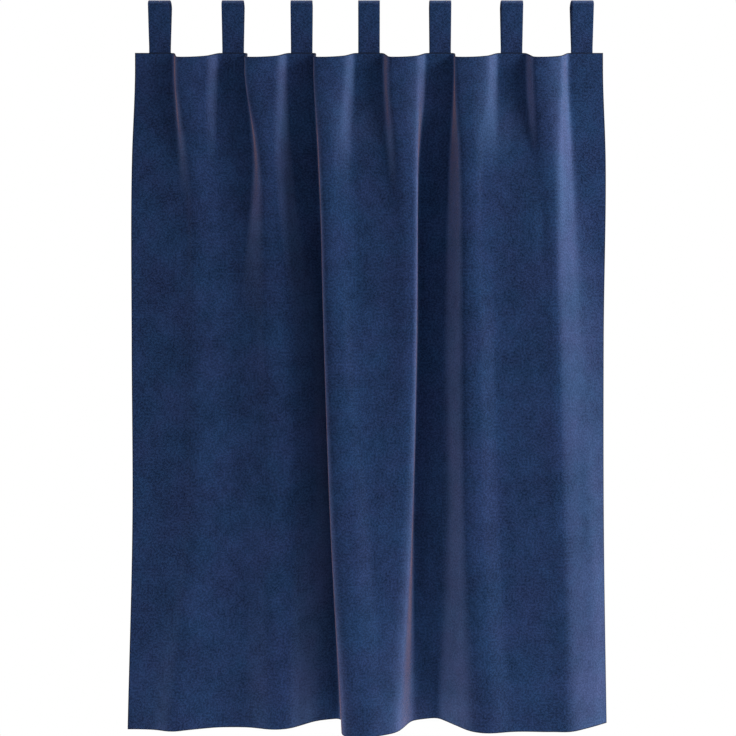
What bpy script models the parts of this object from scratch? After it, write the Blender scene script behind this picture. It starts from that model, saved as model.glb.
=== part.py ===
"""A tab-top velvet curtain panel, hanging in soft uneven folds from the tabs along its top edge.

Metres, +Z up. The origin is where the middle tab rests on top of its rod. X runs along the rod, the
front of the cloth faces -Y, and the rod is no part of the curtain.
"""
import math

import bpy
import numpy as np

# Cut sizes of the cloth, and the space between separate pieces
FLAT_WIDTH = 1.400
FULL_DROP = 1.750
CLOTH = 0.002
PIECE_GAP = 0.0004

# Tabs: a folded strip that hangs over a 28 mm rod, its back leg sewn on behind the panel
TAB_WIDTH = 0.052
TAB_LENGTH = 0.1256
TAB_TAIL = 0.028
TAB_CLOSES = 0.012
ROD_RADIUS = 0.014
TAB_CENTRES = (-0.503, -0.327, -0.162, 0.000, 0.171, 0.343, 0.512)
TAB_ARC_STEPS = 14
TAB_LEG_STEPS = 4

LEG_Y = (CLOTH + PIECE_GAP) / 2
TOP_Z = CLOTH - TAB_LENGTH
PANEL_DROP = FULL_DROP - TAB_LENGTH

# Each fold as it hangs, left to right, in millimetres: (from x, to x, how far forward at each) at
# these drops below the top edge. A hollow lies under each tab, and a swell between two tabs. Where a
# swell starts left of its hollow's end, its side overhangs.
FOLD_DROPS = (0.25, 0.70, 1.10, 1.623)
FOLDS = {
    "hollow_1": ((-569, -454, 4, 4), (-569, -470, 8, 8), (-567, -478, 8, 8), (-579, -505, 6, 10)),
    "swell_1": ((-440, -396, 15, 13), (-436, -396, 12, 13), (-440, -386, 10, 12), (-485, -440, 18, 12)),
    "hollow_2": ((-366, -276, -4, -4), (-350, -325, 1, 1), (-340, -315, 2, 2), (-370, -285, -4, -4)),
    "swell_2": ((-264, -222, 28, 24), (-262, -184, 14, 11), (-258, -180, 12, 9), (-255, -185, 4, 0)),
    "hollow_3": ((-187, -121, -4, -14), (-136, -101, -16, -40), (-126, -89, -20, -52), (-132, -68, -40, -56)),
    "swell_3": ((-118, -72, 52, 46), (-106, -64, 60, 62), (-92, -44, 62, 66), (-64, -24, 42, 52)),
    "hollow_4": ((-42, 44, 33, 30), (-28, 46, 44, 43), (0, 30, 45, 40), (6, 38, 50, 38)),
    "swell_4": ((60, 115, 44, 38), (78, 112, 48, 42), (62, 105, 32, 16), (56, 74, 30, 14)),
    "hollow_5": ((119, 196, -14, -8), (116, 188, -38, -12), (107, 194, -48, -14), (104, 170, -42, -60)),
    "swell_5": ((212, 268, 42, 38), (220, 268, 39, 37), (223, 272, 36, 36), (238, 300, 16, 28)),
    "hollow_6": ((304, 386, 29, 27), (306, 400, 24, 26), (316, 405, 23, 25), (340, 420, 20, 22)),
    "swell_6": ((400, 448, 34, 31), (424, 456, 30, 30), (430, 470, 28, 27), (445, 496, 20, 16)),
    "hollow_7": ((488, 570, 2, -2), (512, 571, -2, -24), (532, 571, 0, -24), (550, 580, -12, -30)),
}
# The reach of the bends, from the heading to the hem, and how round the swells and hollows are.
STIFFNESS = (0.005, 0.012)
SWELL_BOW = 0.10
HOLLOW_BOW = 0.02

# Along the top edge the cloth lies flat behind each tab. Between two tabs it swells forward, and its
# edge nods down. It keeps these folds through the heading. A swell stands forward by SWELL at its left
# and by SHOULDER at its right. SWELL_SIDES gives the widths of its left and right sides, in
# millimetres: a side wider than nothing slopes, and one below nothing overhangs.
EDGE_X = 0.563
FLAT_AT_TAB = 0.035
SWELL = 0.052
SHOULDER = 0.036
SWELL_SIDES = ((11, 22), (-3, 20), (-5, 22), (11, 20), (-3, 24), (11, 18))
NOD = 0.55
NOD_FADE = 0.20
HEADING = 0.034

COLUMNS = 136
ROW_DROPS = (0, HEADING, 0.08, 0.16, 0.28, 0.45, 0.66, 0.88, 1.10, 1.30, 1.48, PANEL_DROP)


def clear_scene():
    for thing in list(bpy.data.objects):
        bpy.data.objects.remove(thing, do_unlink=True)


def velvet(name, colour):
    material = bpy.data.materials.new(name)
    material.use_nodes = True
    shader = material.node_tree.nodes["Principled BSDF"]
    shader.inputs["Base Color"].default_value = (*colour, 1)
    shader.inputs["Roughness"].default_value = 0.85
    shader.inputs["Metallic"].default_value = 0.0
    material.diffuse_color = (*colour, 1)
    return material


def cloth_from_grid(name, points, material, collection):
    """A sheet through a grid of points (rows, columns, xyz), given the cloth's thickness."""
    rows, columns = points.shape[:2]
    mesh = bpy.data.meshes.new(name)
    faces = [
        (r * columns + c, (r + 1) * columns + c, (r + 1) * columns + c + 1, r * columns + c + 1)
        for r in range(rows - 1)
        for c in range(columns - 1)
    ]
    mesh.from_pydata(points.reshape(-1, 3).tolist(), [], faces)
    mesh.materials.append(material)
    mesh.shade_smooth()
    piece = bpy.data.objects.new(name, mesh)
    collection.objects.link(piece)
    solidify = piece.modifiers.new("cloth", "SOLIDIFY")
    solidify.thickness = CLOTH
    solidify.offset = 0
    solidify.use_even_offset = True
    return piece


def top_folds():
    """The row of every hollow and swell along the top edge, in metres."""
    rows = []
    last = len(TAB_CENTRES) - 1
    for number, centre in enumerate(TAB_CENTRES):
        left = centre - FLAT_AT_TAB if number else -EDGE_X
        right = centre + FLAT_AT_TAB if number < last else EDGE_X
        if number:
            left_side, right_side = SWELL_SIDES[number - 1]
            crest = (rows[-1][1] + left_side / 1000, left - right_side / 1000)
            rows.append(crest + (SWELL, SHOULDER))
        rows.append((left, right, 0, 0))
    return np.array(rows)


def fold_table():
    """(drops, folds): the fold rows in metres at every level. The heading keeps its folds."""
    lower = np.array(list(FOLDS.values())).transpose(1, 0, 2) / 1000
    drops = np.array((HEADING,) + FOLD_DROPS)
    return drops, np.concatenate([top_folds()[None], lower])


def folds_at(drop, drops, folds):
    """The fold rows at one drop, on a smooth curve through the levels of the table."""
    if drop <= drops[0]:
        return folds[0]
    slopes = np.gradient(folds, drops, axis=0)
    slopes[0] = 0
    above = min(np.searchsorted(drops, drop, side="right") - 1, len(drops) - 2)
    span = drops[above + 1] - drops[above]
    t = (drop - drops[above]) / span
    return (
        (2 * t**3 - 3 * t**2 + 1) * folds[above]
        + (t**3 - 2 * t**2 + t) * span * slopes[above]
        + (3 * t**2 - 2 * t**3) * folds[above + 1]
        + (t**3 - t**2) * span * slopes[above + 1]
    )


def spaced(points, count):
    """That many points at even steps along a line."""
    steps = np.linalg.norm(np.diff(points, axis=0), axis=1)
    along = np.concatenate([[0], np.cumsum(steps)])
    at = np.linspace(0, along[-1], count)
    return np.stack([np.interp(at, along, points[:, k]) for k in (0, 1)], axis=1)


def rounded(points, reach):
    """The line with its corners rounded by the cloth's stiffness, and its ends kept in place."""
    step = np.linalg.norm(points[1] - points[0])
    half = int(math.ceil(3 * reach / step))
    weights = np.exp(-0.5 * (np.arange(-half, half + 1) * step / reach) ** 2)
    weights /= weights.sum()
    before = 2 * points[0] - points[half:0:-1]
    after = 2 * points[-1] - points[-2:-half - 2:-1]
    padded = np.concatenate([before, points, after])
    return np.stack([np.convolve(padded[:, k], weights, "valid") for k in (0, 1)], axis=1)


def bowed(row, bow):
    """A fold's face as (x, forward) points, bowed out in its middle by a share of its width."""
    t = np.linspace(0, 1, 9)
    x = row[0] + (row[1] - row[0]) * t
    forward = row[2] + (row[3] - row[2]) * t
    return np.stack([x, forward + bow * (row[1] - row[0]) * 4 * t * (1 - t)], axis=1)


def section(rows, drop, columns):
    """One level of the cloth as (x, forward) points, its depth set by the flat cloth's width."""
    below_heading = np.interp(drop, (HEADING, FOLD_DROPS[0]), (0, 1))
    bows = (-HOLLOW_BOW * below_heading, SWELL_BOW)
    stiffness = np.interp(drop, (HEADING, PANEL_DROP), STIFFNESS)
    corners = np.concatenate([bowed(row, bows[number % 2]) for number, row in enumerate(rows)])
    shallow = 0.3
    deep = 2.5
    for _ in range(24):
        depth = (shallow + deep) / 2
        line = rounded(spaced(corners * (1, depth), 1400), stiffness)
        length = np.linalg.norm(np.diff(line, axis=0), axis=1).sum()
        if length < FLAT_WIDTH:
            shallow = depth
        else:
            deep = depth
    return spaced(line, columns)


def panel_points():
    drops, folds = fold_table()
    rows = []
    for drop in ROW_DROPS:
        line = section(folds_at(drop, drops, folds), drop, COLUMNS)
        forward = line[:, 1]
        nod = NOD * np.maximum(forward, 0) * max(0, 1 - drop / NOD_FADE) ** 2
        height = np.full(COLUMNS, TOP_Z - PIECE_GAP - drop) - nod
        rows.append(np.stack([line[:, 0], -LEG_Y - forward, height], axis=1))
    return np.array(rows)


def tab_line():
    """The folded strip from the side, as (y, z): up the front leg, over the rod, down the back."""
    radius = ROD_RADIUS + CLOTH / 2
    closed = (LEG_Y, TOP_Z + TAB_CLOSES)
    away = (closed[0], closed[1] + ROD_RADIUS)
    reach = math.hypot(*away)
    turn = math.atan2(away[0], -away[1]) + math.acos(radius / reach) - math.pi / 2
    arc = []
    for step in range(TAB_ARC_STEPS + 1):
        angle = -turn + (math.pi + 2 * turn) * step / TAB_ARC_STEPS
        arc.append((-radius * math.cos(angle), radius * math.sin(angle) - ROD_RADIUS))
    leg = [
        tuple(arc[-1][k] + (closed[k] - arc[-1][k]) * step / TAB_LEG_STEPS for k in (0, 1))
        for step in range(1, TAB_LEG_STEPS + 1)
    ]
    front = [(-y, z) for y, z in reversed(leg)]
    return [(-LEG_Y, TOP_Z)] + front + arc + leg + [(LEG_Y, TOP_Z), (LEG_Y, TOP_Z - TAB_TAIL)]


def tab_points(centre):
    half = TAB_WIDTH / 2
    return np.array([[(centre + x, y, z) for x in (-half, half)] for y, z in tab_line()])


def build():
    clear_scene()
    curtain = bpy.data.collections.new("tab_top_velvet_curtain")
    bpy.context.scene.collection.children.link(curtain)
    panel_velvet = velvet("panel velvet", (0.015, 0.031, 0.095))
    tab_velvet = velvet("tab velvet", (0.015, 0.033, 0.088))
    cloth_from_grid("drape_panel", panel_points(), panel_velvet, curtain)
    for number, centre in enumerate(TAB_CENTRES, start=1):
        cloth_from_grid(f"tab_{number}", tab_points(centre), tab_velvet, curtain)


build()
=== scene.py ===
import math

import bmesh
import bpy
import numpy as np
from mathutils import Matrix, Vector


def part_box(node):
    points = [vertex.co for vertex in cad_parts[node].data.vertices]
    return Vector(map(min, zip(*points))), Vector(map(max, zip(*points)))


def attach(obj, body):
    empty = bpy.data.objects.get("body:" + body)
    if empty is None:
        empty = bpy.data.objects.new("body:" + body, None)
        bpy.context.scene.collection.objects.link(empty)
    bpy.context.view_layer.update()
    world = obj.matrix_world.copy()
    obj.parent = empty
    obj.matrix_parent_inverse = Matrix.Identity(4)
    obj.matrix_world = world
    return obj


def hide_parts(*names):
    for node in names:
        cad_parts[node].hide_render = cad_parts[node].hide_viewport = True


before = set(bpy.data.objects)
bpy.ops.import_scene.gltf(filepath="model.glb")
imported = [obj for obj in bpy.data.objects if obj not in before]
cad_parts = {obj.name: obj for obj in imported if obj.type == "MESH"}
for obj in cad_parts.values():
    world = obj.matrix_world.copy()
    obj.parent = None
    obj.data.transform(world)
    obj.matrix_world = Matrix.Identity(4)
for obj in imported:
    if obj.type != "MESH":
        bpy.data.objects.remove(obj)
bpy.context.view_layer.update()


class Wire:  # one socket of a material, which can stand in an ordinary sum
    def __init__(self, tree, socket=None):
        self.tree = tree
        self.socket = socket

    def node(self, kind, settings=None, values=None, out=0):
        made = self.tree.nodes.new("ShaderNode" + kind)
        for name, setting in (settings or {}).items():
            if name == "stops":
                layStops(made.color_ramp, setting)
            else:
                setattr(made, name, setting)
        for name, value in (values or {}).items():
            if isinstance(value, Wire):
                self.tree.links.new(value.socket, made.inputs[name])
            else:
                made.inputs[name].default_value = value
        return Wire(self.tree, made.outputs[out])

    def maths(self, operation, first, second):
        return self.node("Math", {"operation": operation}, {0: first, 1: second})

    def __add__(self, other):
        return self.maths("ADD", self, other)

    def __radd__(self, other):
        return self.maths("ADD", other, self)

    def __sub__(self, other):
        return self.maths("SUBTRACT", self, other)

    def __rsub__(self, other):
        return self.maths("SUBTRACT", other, self)

    def __mul__(self, other):
        return self.maths("MULTIPLY", self, other)

    def __rmul__(self, other):
        return self.maths("MULTIPLY", other, self)


def layStops(ramp, stops):
    while len(ramp.elements) < len(stops):
        ramp.elements.new(0.5)
    for element, (place, grey) in zip(ramp.elements, stops):
        element.position = place
        element.color = (grey, grey, grey, 1)


def blendColours(share, first, second):
    settings = {"data_type": "RGBA"}
    return share.node("Mix", settings, {0: share, 6: first, 7: second}, out=2)


def newMaterial(name):
    material = bpy.data.materials.new(name)
    material.use_nodes = True
    tree = material.node_tree
    shader = tree.nodes["Principled BSDF"]
    return material, Wire(tree), shader


def feed(shader, name, wire):
    wire.tree.links.new(wire.socket, shader.inputs[name])


velvet = {
    # each tone of the pile as (teal cast, violet cast)
    "deep": ((0.0030, 0.0108, 0.036), (0.0043, 0.0099, 0.035)),
    "lit": ((0.0222, 0.0665, 0.190), (0.0296, 0.0622, 0.190)),
    # the two pale tones are painted sheen, mixed in where the cloth turns away from the view
    "paintedSheenDeep": ((0.034, 0.065, 0.158), (0.042, 0.061, 0.155)),
    "paintedSheenLit": ((0.087, 0.158, 0.352), (0.104, 0.148, 0.346)),
    "turned": (0.08, 0.44),
    "endSheen": (0.35, 0.34, (0.55, 0.65, 1.0, 1)),
    "grazingSheen": (0.66, 0.24, (1.0, 0.50, 0.36, 1)),
    "castsPerMetre": 7,
    "cloudsPerMetre": 9,
    "brushMarksPerMetre": 46,
    "tuftsPerMetre": 210,
    "pilePerMetre": 480,
    "pileHeight": 0.0011,
}


def clothNoise(bench, perMetre, detail, roughness, stretch=(1, 1, 1)):
    flat = bench.node("UVMap", {"uv_map": "flatCloth"})
    place = bench.node("Mapping", None, {"Vector": flat, "Scale": stretch})
    values = {"Vector": place, "Scale": perMetre, "Detail": detail, "Roughness": roughness}
    return bench.node("TexNoise", {"noise_dimensions": "3D"}, values)


def napShader(bench, shader, sheen, colour, tone, normal):
    feed(shader, "Base Color", colour)
    feed(shader, "Roughness", 0.95 - 0.15 * tone)
    feed(shader, "Normal", normal)
    shader.inputs["Specular IOR Level"].default_value = 0.12
    shader.inputs["Sheen Weight"].default_value = sheen[0]
    shader.inputs["Sheen Roughness"].default_value = sheen[1]
    shader.inputs["Sheen Tint"].default_value = sheen[2]


def ramp(wire, low, high):
    return wire.node("ValToRGB", {"stops": ((low, 0), (high, 1))}, {0: wire})


def velvetMaterial(name, spec, shade):
    # pile looked at end-on is deep in tone; where the cloth turns away from the view a paler colour is mixed
    # in, a painted sheen on top of the shaders' own sheen
    material, bench, endOn = newMaterial(name)
    cast = ramp(clothNoise(bench, spec["castsPerMetre"], 5, 0.65), 0.38, 0.62)
    clouds = ramp(clothNoise(bench, spec["cloudsPerMetre"], 4, 0.62), 0.38, 0.62)
    strokes = ramp(clothNoise(bench, spec["brushMarksPerMetre"], 3, 0.6, (1, 0.6, 1)), 0.38, 0.62)
    tufts = ramp(clothNoise(bench, spec["tuftsPerMetre"], 2, 0.6), 0.41, 0.59)
    pile = ramp(clothNoise(bench, spec["pilePerMetre"], 2, 0.7), 0.39, 0.61)
    tone = clouds * 0.18 + strokes * 0.15 + tufts * 0.39 + pile * 0.28

    def shaded(key):
        teal, violet = (tuple(shade * c for c in colour) + (1,) for colour in spec[key])
        return blendColours(cast, teal, violet)

    relief = pile * 0.40 + tufts * 0.45 + strokes * 0.15
    settings = {"Height": relief, "Distance": spec["pileHeight"], "Strength": 0.55}
    normal = bench.node("Bump", None, settings)
    paintedSheenShader = bench.node("BsdfPrincipled")
    endColour = blendColours(tone, shaded("deep"), shaded("lit"))
    # painted sheen: this paler colour takes over as the surface turns from the view
    paintedSheenColour = blendColours(tone, shaded("paintedSheenDeep"), shaded("paintedSheenLit"))
    napShader(bench, endOn, spec["endSheen"], endColour, tone, normal)
    napShader(bench, paintedSheenShader.socket.node, spec["grazingSheen"], paintedSheenColour, tone, normal)
    facing = bench.node("LayerWeight", None, {"Blend": 0.5}, out=1)
    turned = ramp(facing, *spec["turned"])
    ends = {0: turned, 1: Wire(bench.tree, endOn.outputs[0]), 2: paintedSheenShader}
    feed(bench.tree.nodes["Material Output"], "Surface", bench.node("MixShader", None, ends))
    return material


woven = {
    "warp": (0.013, 0.027, 0.080, 1),
    "weft": (0.030, 0.054, 0.135, 1),
    "yarnsPerMetre": 1300,
    "yarnHeight": 0.0003,
}


def wovenBackMaterial(spec):
    material, bench, shader = newMaterial("wovenBack")
    flat = bench.node("UVMap", {"uv_map": "flatCloth"})
    bands = {"wave_type": "BANDS", "bands_direction": "DIAGONAL"}
    ribs = bench.node("TexWave", bands, {"Vector": flat, "Scale": spec["yarnsPerMetre"] / 20})
    haze = clothNoise(bench, 30, 4, 0.6)
    slub = clothNoise(bench, 420, 2, 0.6, (1, 0.25, 1))
    tone = ribs * 0.35 + slub * 0.40 + haze * 0.25
    feed(shader, "Base Color", blendColours(tone, spec["warp"], spec["weft"]))
    feed(shader, "Roughness", 0.80 + 0.15 * slub)
    values = {"Height": ribs * 0.6 + slub * 0.4, "Distance": spec["yarnHeight"], "Strength": 0.6}
    feed(shader, "Normal", bench.node("Bump", None, values))
    shader.inputs["Specular IOR Level"].default_value = 0.2
    shader.inputs["Sheen Weight"].default_value = 0.12
    return material


def threadMaterial():
    material, bench, shader = newMaterial("navyThread")
    fuzz = clothNoise(bench, 2500, 2, 0.6)
    feed(shader, "Base Color", blendColours(fuzz, (0.020, 0.030, 0.075, 1), (0.045, 0.060, 0.130, 1)))
    shader.inputs["Roughness"].default_value = 0.55
    return material


# a dark outline for the faces along the cloth's borders: painted shade of the rounded edges
def paintedEdgeShadeMaterial():
    material, bench, shader = newMaterial("paintedEdgeShade")
    fuzz = clothNoise(bench, 520, 2, 0.6)
    feed(shader, "Base Color", blendColours(fuzz, (0.0035, 0.0085, 0.028, 1), (0.008, 0.017, 0.050, 1)))
    shader.inputs["Roughness"].default_value = 0.95
    shader.inputs["Specular IOR Level"].default_value = 0.1
    shader.inputs["Sheen Weight"].default_value = 0.1
    return material


panelVelvet = velvetMaterial("panelVelvet", velvet, 1.0)
tabVelvet = velvetMaterial("tabVelvet", velvet, 0.97)
wovenBack = wovenBackMaterial(woven)
paintedEdgeShade = paintedEdgeShadeMaterial()
navyThread = threadMaterial()
print("materials made")


tabNames = [f"tab_{number}" for number in range(1, 8)]
tabCentres = [(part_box(name)[0].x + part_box(name)[1].x) / 2 for name in tabNames]
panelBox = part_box("drape_panel")

drape = {
    "flatWidth": 1.400,
    "thickness": 0.0020,
    "faceY": -0.0012,
    "topZ": panelBox[1].z,
    "drop": panelBox[1].z - panelBox[0].z,
    "columns": 312,
    "rows": 92,
    "stiffness": (0.0050, 0.0120),
    "swellBow": 0.10,
    "hollowBow": 0.02,
    "edgeWidth": 0.0018,
    "rimSteps": (0, 0.00012, 0.0005, 0.0011, 0.0024),
    "leastStep": 0.0012,
}

# each fold as it hangs, in millimetres: (from x, to x, how far forward at each) at these drops below the
# top edge; a hollow lies under each tab and a swell between two tabs
foldDrops = (0.25, 0.70, 1.10, 1.623)
folds = {
    "hollow1": ((-569, -454, 4, 4), (-569, -470, 8, 8), (-567, -478, 8, 8), (-579, -505, 6, 10)),
    "swell1": ((-440, -396, 15, 13), (-436, -396, 12, 13), (-440, -386, 10, 12), (-485, -440, 18, 12)),
    "hollow2": ((-366, -276, -4, -4), (-350, -325, 1, 1), (-340, -315, 2, 2), (-370, -285, -4, -4)),
    "swell2": ((-264, -222, 28, 24), (-262, -184, 14, 11), (-258, -180, 12, 9), (-255, -185, 4, 0)),
    "hollow3": ((-187, -121, -4, -14), (-136, -101, -16, -40), (-126, -89, -20, -52), (-132, -68, -40, -56)),
    "swell3": ((-118, -72, 52, 46), (-106, -64, 60, 62), (-92, -44, 62, 66), (-64, -24, 42, 52)),
    "hollow4": ((-42, 44, 33, 30), (-28, 46, 44, 43), (0, 30, 45, 40), (6, 38, 50, 38)),
    "swell4": ((60, 115, 44, 38), (78, 112, 48, 42), (62, 105, 32, 16), (56, 74, 30, 14)),
    "hollow5": ((119, 196, -14, -8), (116, 188, -38, -12), (107, 194, -48, -14), (104, 170, -42, -60)),
    "swell5": ((212, 268, 42, 38), (220, 268, 39, 37), (223, 272, 36, 36), (238, 300, 16, 28)),
    "hollow6": ((304, 386, 29, 27), (306, 400, 24, 26), (316, 405, 23, 25), (340, 420, 20, 22)),
    "swell6": ((400, 448, 34, 31), (424, 456, 30, 30), (430, 470, 28, 27), (445, 496, 20, 16)),
    "hollow7": ((488, 570, 2, -2), (512, 571, -2, -24), (532, 571, 0, -24), (550, 580, -12, -30)),
}

heading = {
    "depth": 0.034,
    "edgeX": 0.563,
    "flatAtTab": 0.035,
    "swell": 0.052,
    "shoulder": 0.036,
    "nod": 0.55,
    "nodFade": 0.20,
    # how wide the left and right sides of each swell are, in millimetres; one below nothing overhangs
    "sides": ((11, 22), (-3, 20), (-5, 22), (11, 20), (-3, 24), (11, 18)),
}


def headingFolds():
    rows = []
    last = len(tabCentres) - 1
    for number, centre in enumerate(tabCentres):
        left = centre - heading["flatAtTab"] if number else -heading["edgeX"]
        right = centre + heading["flatAtTab"] if number < last else heading["edgeX"]
        if number:
            leftSide, rightSide = heading["sides"][number - 1]
            crest = (rows[-1][1] + leftSide / 1000, left - rightSide / 1000)
            rows.append(crest + (heading["swell"], heading["shoulder"]))
        rows.append((left, right, 0, 0))
    return np.array(rows)


levelDrops = np.array((heading["depth"],) + foldDrops)
hangingFolds = np.array(list(folds.values())).transpose(1, 0, 2) / 1000
levelFolds = np.concatenate([headingFolds()[None], hangingFolds])


def foldsAt(drop):
    if drop <= levelDrops[0]:
        return levelFolds[0]
    slopes = np.gradient(levelFolds, levelDrops, axis=0)
    slopes[0] = 0
    above = min(np.searchsorted(levelDrops, drop, side="right") - 1, len(levelDrops) - 2)
    span = levelDrops[above + 1] - levelDrops[above]
    t = (drop - levelDrops[above]) / span
    return (
        (2 * t**3 - 3 * t**2 + 1) * levelFolds[above]
        + (t**3 - 2 * t**2 + t) * span * slopes[above]
        + (3 * t**2 - 2 * t**3) * levelFolds[above + 1]
        + (t**3 - t**2) * span * slopes[above + 1]
    )


def alongLine(points, shares):
    steps = np.linalg.norm(np.diff(points, axis=0), axis=1)
    along = np.concatenate([[0], np.cumsum(steps)])
    return np.stack([np.interp(shares * along[-1], along, points[:, k]) for k in (0, 1)], axis=1)


def softened(points, reach):
    step = np.linalg.norm(points[1] - points[0])
    half = int(math.ceil(3 * reach / step))
    weights = np.exp(-0.5 * (np.arange(-half, half + 1) * step / reach) ** 2)
    weights /= weights.sum()
    before = 2 * points[0] - points[half:0:-1]
    after = 2 * points[-1] - points[-2:-half - 2:-1]
    padded = np.concatenate([before, points, after])
    return np.stack([np.convolve(padded[:, k], weights, "valid") for k in (0, 1)], axis=1)


def bowed(row, bow):
    t = np.linspace(0, 1, 9)
    x = row[0] + (row[1] - row[0]) * t
    forward = row[2] + (row[3] - row[2]) * t
    return np.stack([x, forward + bow * (row[1] - row[0]) * 4 * t * (1 - t)], axis=1)


def clothLine(drop, shares):
    # one level of the cloth as (x, forward); its depth is what uses up the flat cloth's width
    belowHeading = np.interp(drop, (heading["depth"], foldDrops[0]), (0, 1))
    bows = (-drape["hollowBow"] * belowHeading, drape["swellBow"])
    stiffness = np.interp(drop, (heading["depth"], drape["drop"]), drape["stiffness"])
    corners = np.concatenate([bowed(row, bows[number % 2]) for number, row in enumerate(foldsAt(drop))])
    shallow = 0.3
    deep = 2.5
    for _ in range(20):
        depth = (shallow + deep) / 2
        line = softened(alongLine(corners * (1, depth), np.linspace(0, 1, 2000)), stiffness)
        length = np.linalg.norm(np.diff(line, axis=0), axis=1).sum()
        if length < drape["flatWidth"]:
            shallow = depth
        else:
            deep = depth
    return alongLine(line, shares)


# soft creases and pulls: (across, down) to (across, down) on the flat cloth, in metres, then the half width
# and how far it stands out; a trough is below nothing
creases = (
    ((0.085, 0.00), (0.070, 0.34), 0.010, -0.0012),
    ((0.118, 0.00), (0.124, 0.24), 0.008, 0.0014),
    ((0.210, 0.10), (0.180, 0.62), 0.022, 0.0016),
    ((0.265, 0.40), (0.300, 1.10), 0.030, -0.0018),
    ((0.150, 0.75), (0.120, 1.50), 0.034, 0.0016),
    ((0.300, 0.00), (0.292, 0.30), 0.009, -0.0012),
    ((0.330, 0.30), (0.345, 0.95), 0.018, 0.0014),
    ((0.520, 0.02), (0.530, 0.40), 0.010, 0.0012),
    ((0.655, 0.05), (0.668, 0.55), 0.014, -0.0014),
    ((0.700, 0.30), (0.690, 1.30), 0.022, 0.0016),
    ((0.745, 0.60), (0.735, 1.55), 0.016, -0.0012),
    ((0.775, 0.02), (0.770, 0.42), 0.010, 0.0012),
    ((1.010, 0.10), (1.000, 0.70), 0.020, -0.0014),
    ((1.060, 0.50), (1.075, 1.45), 0.026, 0.0016),
    ((1.150, 0.00), (1.146, 0.30), 0.010, -0.0012),
    ((1.190, 0.40), (1.185, 1.20), 0.030, 0.0018),
    ((1.275, 0.05), (1.262, 0.50), 0.014, 0.0014),
    ((1.330, 0.70), (1.345, 1.55), 0.024, -0.0014),
)


def smoothStep(low, high, value):
    t = np.clip((value - low) / (high - low), 0, 1)
    return t * t * (3 - 2 * t)


def creaseHeight(across, down):
    height = np.zeros_like(across)
    # the tabs' tails lie on flat cloth, so the creases begin below them
    belowTails = smoothStep(heading["depth"], heading["depth"] + 0.05, down)
    for (startAcross, startDown), (endAcross, endDown), halfWidth, stand in creases:
        share = (down - startDown) / (endDown - startDown)
        middle = startAcross + (endAcross - startAcross) * share
        fade = smoothStep(-0.05, 0.25, share) * (1 - smoothStep(0.65, 1.1, share)) * belowTails
        height += stand * fade * np.exp(-0.5 * ((across - middle) / halfWidth) ** 2)
    return height


hems = {
    "bottom": 0.042,
    "side": 0.024,
    "heading": 0.046,
    "fold": 0.0011,
    "step": 0.0016,
}


def hemHeight(across, down):
    # the turned-in cloth stands proud of the back; its inner edge is a low step
    width = drape["flatWidth"]
    drop = drape["drop"]
    inside = np.minimum(across - hems["side"], width - hems["side"] - across)
    inside = np.minimum(inside, drop - hems["bottom"] - down)
    inside = np.minimum(inside, down - hems["heading"])
    return hems["fold"] * (1 - smoothStep(0, hems["step"], inside))


def withEdges(evenShares, total, edges, marks):
    # even steps, with extra ones close to both ends for the rounded rim and at each hem's step
    extra = list(edges) + [total - e for e in edges]
    for mark in marks:
        extra += [mark, mark + hems["step"] / 2, mark + hems["step"]]
    kept = [v for v in evenShares if min(abs(v - e) for e in extra) > drape["leastStep"]]
    return np.array(sorted(kept + extra))


def panelGrid():
    width = drape["flatWidth"]
    drop = drape["drop"]
    rim = drape["rimSteps"]
    sideMarks = [hems["side"], width - hems["side"] - hems["step"]]
    across = withEdges(np.linspace(0, width, drape["columns"]), width, rim, sideMarks)
    dropMarks = [hems["heading"], drop - hems["bottom"] - hems["step"]]
    down = withEdges(np.linspace(0, drop, drape["rows"]), drop, rim, dropMarks)
    middle = np.zeros((len(down), len(across), 3))
    for row, level in enumerate(down):
        line = clothLine(level, across / width)
        forward = line[:, 1]
        nod = heading["nod"] * np.maximum(forward, 0) * max(0, 1 - level / heading["nodFade"]) ** 2
        middle[row, :, 0] = line[:, 0]
        middle[row, :, 1] = drape["faceY"] - forward
        middle[row, :, 2] = drape["topZ"] - level - nod
    return across, down, middle


def gridNormals(middle):
    alongRow = np.gradient(middle, axis=1)
    alongColumn = np.gradient(middle, axis=0)
    normals = np.cross(alongColumn, alongRow)
    return normals / np.linalg.norm(normals, axis=2, keepdims=True)


def closedSheet(name, front, back, across, down, materials, edgeWidth):
    # front and back share their border; the faces along the border take the dark edge material, a painted
    # shade line
    rows, columns = front.shape[:2]
    points = np.concatenate([front.reshape(-1, 3), back.reshape(-1, 3)])
    border = np.zeros((rows, columns), bool)
    border[[0, -1], :] = True
    border[:, [0, -1]] = True
    number = np.arange(rows * columns).reshape(rows, columns)
    behind = np.where(border, number, number + rows * columns)
    faces = []
    kinds = []
    for r in range(rows - 1):
        nearRow = min(down[r], down[-1] - down[r + 1])
        for c in range(columns - 1):
            near = min(nearRow, across[c], across[-1] - across[c + 1])
            edge = near < edgeWidth
            faces.append((number[r, c], number[r + 1, c], number[r + 1, c + 1], number[r, c + 1]))
            kinds.append(2 if edge else 0)
            faces.append((behind[r, c], behind[r, c + 1], behind[r + 1, c + 1], behind[r + 1, c]))
            kinds.append(2 if edge else 1)
    mesh = bpy.data.meshes.new(name)
    mesh.from_pydata(points.tolist(), [], faces)
    layer = mesh.uv_layers.new(name="flatCloth")
    place = np.stack(np.meshgrid(across, -down), axis=2).reshape(-1, 2)
    place = np.concatenate([place, place])
    corner = np.zeros(len(mesh.loops), np.int32)
    mesh.loops.foreach_get("vertex_index", corner)
    layer.uv.foreach_set("vector", place[corner].astype(np.float32).ravel())
    for material in materials:
        mesh.materials.append(material)
    mesh.polygons.foreach_set("material_index", kinds)
    mesh.shade_smooth()
    removeSpares(mesh)
    piece = bpy.data.objects.new(name, mesh)
    bpy.context.scene.collection.objects.link(piece)
    return piece


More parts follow.
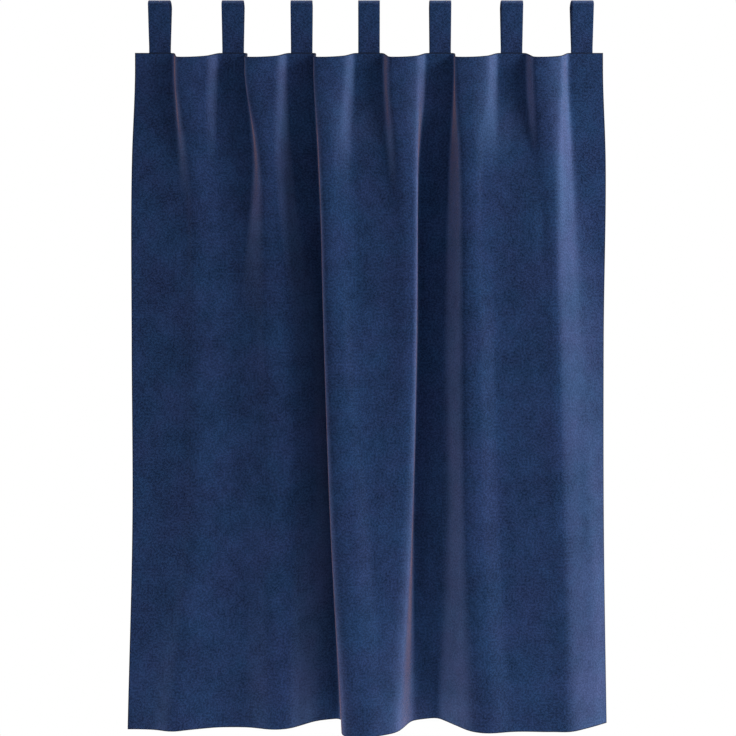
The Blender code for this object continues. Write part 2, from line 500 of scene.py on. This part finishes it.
def removeSpares(mesh):
    used = np.zeros(len(mesh.vertices), bool)
    corner = np.zeros(len(mesh.loops), np.int32)
    mesh.loops.foreach_get("vertex_index", corner)
    used[corner] = True
    if used.all():
        return
    shape = bmesh.new()
    shape.from_mesh(mesh)
    shape.verts.ensure_lookup_table()
    spare = [shape.verts[i] for i in np.nonzero(~used)[0]]
    bmesh.ops.delete(shape, geom=spare, context="VERTS")
    shape.to_mesh(mesh)
    shape.free()


def rimShare(distance, radius):
    t = np.clip(1 - distance / radius, 0, 1)
    return np.sqrt(np.maximum(0, 1 - t * t))


stitch = {
    "length": 0.0036,
    "pitch": 0.0048,
    "radius": 0.00032,
    "sides": 5,
    "fromHemEdge": 0.0025,
}


def onSheet(values, across, down, place):
    # a value of the sheet's grid at (across, down) on the flat cloth
    column = np.interp(place[:, 0], across, np.arange(len(across)))
    row = np.interp(place[:, 1], down, np.arange(len(down)))
    left = np.minimum(column.astype(int), len(across) - 2)
    upper = np.minimum(row.astype(int), len(down) - 2)
    u = (column - left)[:, None]
    v = (row - upper)[:, None]
    upperEdge = values[upper, left] * (1 - u) + values[upper, left + 1] * u
    lowerEdge = values[upper + 1, left] * (1 - u) + values[upper + 1, left + 1] * u
    return upperEdge * (1 - v) + lowerEdge * v


def unit(vectors):
    return vectors / np.linalg.norm(vectors, axis=1, keepdims=True)


def stitchRow(start, end):
    # the (first end, second end) of each stitch of a straight seam on the flat cloth
    start = np.array(start)
    end = np.array(end)
    length = np.linalg.norm(end - start)
    count = int(length / stitch["pitch"])
    middles = (np.arange(count) + 0.5) / count
    half = stitch["length"] / 2 / length
    return [(start + (end - start) * (m - half), start + (end - start) * (m + half)) for m in middles]


def stitchMesh(rows, sheet, outward, across, down):
    # each stitch is a short thread lying on the cloth with both ends drawn into it
    ends = np.array([pair for row in rows for pair in row])
    first = onSheet(sheet, across, down, ends[:, 0])
    second = onSheet(sheet, across, down, ends[:, 1])
    away = unit(onSheet(outward, across, down, ends.mean(axis=1)))
    along = unit(second - first)
    aside = np.cross(along, away)
    points = []
    # how far along the stitch, then how far out and how thick, in thread radii
    for share, lift, width in ((0, -0.4, 0.5), (0.5, 0.55, 1.0), (1, -0.4, 0.5)):
        centre = first + (second - first) * share + away * stitch["radius"] * lift
        for side in range(stitch["sides"]):
            angle = 2 * math.pi * side / stitch["sides"]
            spoke = aside * math.cos(angle) + away * math.sin(angle)
            points.append(centre + spoke * stitch["radius"] * width)
    points = np.array(points).transpose(1, 0, 2).reshape(-1, 3)
    sides = stitch["sides"]
    pattern = []
    for ring in (0, sides):
        for side in range(sides):
            after = (side + 1) % sides
            pattern.append((ring + side, ring + after, ring + sides + after, ring + sides + side))
    caps = [tuple(range(sides - 1, -1, -1)), tuple(range(2 * sides, 3 * sides))]
    faces = []
    for number in range(len(ends)):
        shift = 3 * sides * number
        faces += [tuple(corner + shift for corner in face) for face in pattern + caps]
    return points, faces


def addStitches(piece, points, faces):
    thread = bpy.data.meshes.new("thread")
    thread.from_pydata(points.tolist(), [], faces)
    layer = thread.uv_layers.new(name="flatCloth")
    corner = np.zeros(len(thread.loops), np.int32)
    thread.loops.foreach_get("vertex_index", corner)
    layer.uv.foreach_set("vector", points[corner][:, [0, 2]].astype(np.float32).ravel())
    thread.shade_smooth()
    slot = len(piece.data.materials)
    for _ in range(slot):
        thread.materials.append(None)
    thread.materials.append(navyThread)
    piece.data.materials.append(navyThread)
    thread.polygons.foreach_set("material_index", [slot] * len(thread.polygons))
    joined = bmesh.new()
    joined.from_mesh(piece.data)
    joined.from_mesh(thread)
    joined.to_mesh(piece.data)
    joined.free()


def hemSeams():
    width = drape["flatWidth"]
    drop = drape["drop"]
    inset = stitch["fromHemEdge"]
    side = hems["side"] - inset
    upper = hems["heading"] - inset
    lower = drop - hems["bottom"] + inset
    margin = 0.004
    return [
        stitchRow((side, margin), (side, drop - margin)),
        stitchRow((width - side, margin), (width - side, drop - margin)),
        stitchRow((margin, upper), (width - margin, upper)),
        stitchRow((margin, lower), (width - margin, lower)),
    ]


def makePanel():
    across, down, middle = panelGrid()
    acrossGrid, downGrid = np.meshgrid(across, down)
    normals = gridNormals(middle)
    middle = middle + normals * creaseHeight(acrossGrid, downGrid)[..., None]
    normals = gridNormals(middle)
    half = drape["thickness"] / 2
    fromSide = np.minimum(acrossGrid, across[-1] - acrossGrid)
    fromEnd = np.minimum(downGrid, down[-1] - downGrid)
    rim = rimShare(fromSide, half) * rimShare(fromEnd, half)
    # the front keeps the outer line of the folds, and the hems stand off the back
    front = middle + normals * (half * rim)[..., None]
    back = middle - normals * ((half * 0.4 + hemHeight(acrossGrid, downGrid)) * rim)[..., None]
    # the border faces take the painted edge shade
    cloths = (panelVelvet, wovenBack, paintedEdgeShade)
    panel = closedSheet("velvetPanel", front, back, across, down, cloths, drape["edgeWidth"])
    addStitches(panel, *stitchMesh(hemSeams(), back, -normals, across, down))
    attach(panel, "root")
    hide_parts("drape_panel")
    return panel


panel = makePanel()
print("panel made", len(panel.data.polygons))


tab = {
    "width": 0.052,
    "thickness": 0.0020,
    "rodRadius": 0.014,
    "legY": 0.0012,
    "tailY": 0.0015,
    "closes": 0.012,
    "tail": 0.028,
    "arcSteps": 26,
    "legSteps": 18,
    "acrossSteps": 12,
    "stitchInset": 0.004,
    "edgeWidth": 0.0004,
    "rimSteps": (0, 0.00015, 0.0005, 0.0011),
    "frontGap": 0.0001,
    "straight": 0.006,
    "tailBend": 0.012,
    "flatLength": 0.305,
}


def tabPath():
    # from the side, as (y, z): up the front leg, over the rod, down the back, to the tail's end
    radius = tab["rodRadius"] + tab["thickness"] / 2
    seamZ = drape["topZ"]
    closed = (tab["legY"], seamZ + tab["closes"])
    away = (closed[0], closed[1] + tab["rodRadius"])
    turn = math.atan2(away[0], -away[1]) + math.acos(radius / math.hypot(*away)) - math.pi / 2
    arc = []
    for step in range(tab["arcSteps"] + 1):
        angle = -turn + (math.pi + 2 * turn) * step / tab["arcSteps"]
        arc.append((-radius * math.cos(angle), radius * math.sin(angle) - tab["rodRadius"]))
    leg = []
    for step in range(1, tab["legSteps"] + 1):
        share = step / tab["legSteps"]
        leg.append(tuple(arc[-1][k] + (closed[k] - arc[-1][k]) * share for k in (0, 1)))
    front = [(-y, z) for y, z in reversed(leg)]
    straightZ = seamZ + tab["straight"]
    frontEnd = [(-tab["legY"], seamZ + tab["frontGap"]), (-tab["legY"], straightZ)]
    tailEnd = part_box("tab_1")[0].z
    tail = [(tab["tailY"], z) for z in (straightZ, seamZ - tab["tailBend"], tailEnd)]
    return np.array(frontEnd + front + arc + leg + tail)


def makeTab(name, centre):
    path = tabPath()
    steps = np.linalg.norm(np.diff(path, axis=0), axis=1)
    down = np.concatenate([[0], np.cumsum(steps)])
    rim = list(tab["rimSteps"])
    half = tab["thickness"] / 2
    even = np.linspace(0, tab["width"], tab["acrossSteps"])[1:-1]
    across = np.array(rim + list(even) + [tab["width"] - r for r in reversed(rim)])
    fine = np.array(sorted(set(rim[1:] + [down[-1] - r for r in rim[1:]]) | set(down)))
    path = np.stack([np.interp(fine, down, path[:, k]) for k in (0, 1)], axis=1)
    down = fine
    acrossGrid, downGrid = np.meshgrid(across, down)
    middle = np.zeros(acrossGrid.shape + (3,))
    middle[..., 0] = centre - tab["width"] / 2 + acrossGrid
    middle[..., 1] = path[:, 0][:, None]
    middle[..., 2] = path[:, 1][:, None]
    tangent = np.gradient(path, axis=0)
    tangent /= np.linalg.norm(tangent, axis=1, keepdims=True)
    normals = np.zeros_like(middle)
    normals[..., 1] = -tangent[:, 1][:, None]
    normals[..., 2] = tangent[:, 0][:, None]
    fromSide = np.minimum(acrossGrid, across[-1] - acrossGrid)
    fromEnd = np.minimum(downGrid, down[-1] - downGrid)
    rimThickness = half * rimShare(fromSide, half) * rimShare(fromEnd, half)
    front = middle + normals * rimThickness[..., None]
    back = middle - normals * rimThickness[..., None]
    # the grid runs up the front, so it is turned over to face outwards
    # the tab's border faces take the painted edge shade
    cloths = (tabVelvet, tabVelvet, paintedEdgeShade)
    turnedDown = down[-1] - down[::-1]
    piece = closedSheet(name, front[::-1], back[::-1], across, turnedDown, cloths, tab["edgeWidth"])
    length = down[-1]
    inset = tab["stitchInset"]
    boxTop = length - tab["tail"] + inset
    boxEnd = length - inset
    sideIn = tab["width"] - inset
    box = [(inset, boxTop), (sideIn, boxTop), (sideIn, boxEnd), (inset, boxEnd)]
    seams = [stitchRow(box[k], box[(k + 1) % 4]) for k in range(4)]
    seams += [stitchRow(box[0], box[2]), stitchRow(box[1], box[3])]
    addStitches(piece, *stitchMesh(seams, front, normals, across, down))
    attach(piece, "root")
    return piece


tabs = []
for number, (name, centre) in enumerate(zip(tabNames, tabCentres), start=1):
    piece = makeTab(f"velvetTab{number}", centre)
    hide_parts(name)
    tabs.append(piece)
print("tabs made")


def paleMaterial(name, grey, glow):
    material, _, shader = newMaterial(name)
    shader.inputs["Base Color"].default_value = (grey, grey, grey, 1)
    shader.inputs["Roughness"].default_value = 0.9
    shader.inputs["Emission Color"].default_value = (1, 1, 1, 1)
    shader.inputs["Emission Strength"].default_value = glow
    return material


studio = {
    "floorZ": -2.45,
    "floorSize": 3.4,
    "eyeDistance": 2.30,
    "eyeZ": -0.882,
    "eyeX": -0.0024,
    "viewWidth": 1.7715,
}


def makeStudio():
    half = studio["floorSize"] / 2
    mesh = bpy.data.meshes.new("floor")
    corners = [(-half, -half, 0), (half, -half, 0), (half, half, 0), (-half, half, 0)]
    mesh.from_pydata(corners, [], [(0, 1, 2, 3)])
    mesh.materials.append(paleMaterial("paleFloor", 0.85, 0.85))
    floor = bpy.data.objects.new("floor", mesh)
    floor.location.z = studio["floorZ"]
    bpy.context.scene.collection.objects.link(floor)


def softLight(name, place, target, size, watts, colour):
    light = bpy.data.lights.new(name, "AREA")
    light.shape = "RECTANGLE"
    light.size, light.size_y = size
    light.energy = watts
    light.color = colour
    lamp = bpy.data.objects.new(name, light)
    lamp.location = place
    lamp.rotation_euler = (Vector(target) - Vector(place)).to_track_quat("-Z", "Y").to_euler()
    bpy.context.scene.collection.objects.link(lamp)


def makeWorld(seen, given):
    # the camera sees a white backdrop, while the cloth is given a softer light from it
    world = bpy.data.worlds.new("paleStudio")
    bpy.context.scene.world = world
    world.use_nodes = True
    bench = Wire(world.node_tree)
    seenByCamera = bench.node("LightPath")
    strength = bench.node("Mix", None, {0: seenByCamera, 2: given, 3: seen})
    feed(world.node_tree.nodes["Background"], "Strength", strength)
    world.node_tree.nodes["Background"].inputs["Color"].default_value = (1, 1, 1, 1)


def makeCamera():
    lens = bpy.data.cameras.new("eye")
    lens.sensor_width = 36
    lens.lens = 36 * studio["eyeDistance"] / studio["viewWidth"]
    eye = bpy.data.objects.new("eye", lens)
    eye.location = (studio["eyeX"], -studio["eyeDistance"], studio["eyeZ"])
    eye.rotation_euler = (math.pi / 2, 0, 0)
    bpy.context.scene.collection.objects.link(eye)
    bpy.context.scene.camera = eye


lights = {
    # where it stands, what it faces, its width and height, watts and colour
    "rightKey": ((2.68, -1.55, -0.07), (0, 0, -0.9), (1.0, 2.0), 50, (1.0, 0.97, 0.95)),
    "upperKey": ((2.2, -0.62, 0.75), (0, 0, 0), (0.7, 0.7), 19, (0.92, 1.0, 0.94)),
    "sideKey": ((3.13, -0.33, -0.34), (0, 0, -0.9), (0.8, 2.6), 8, (0.75, 1.0, 1.0)),
    "roseRim": ((-3.19, -0.17, -0.9), (0, 0, -0.9), (0.6, 2.2), 7, (1.0, 0.30, 0.26)),
    "backSoft": ((-2.2, 2.2, 0.1), (0, 0, -0.9), (1.0, 1.6), 34, (1.0, 0.97, 0.95)),
}

makeCamera()
makeStudio()
makeWorld(seen=1.0, given=0.36)
for name, row in lights.items():
    softLight(name, *row)
bpy.context.scene.view_settings.view_transform = "Standard"
print("studio made")
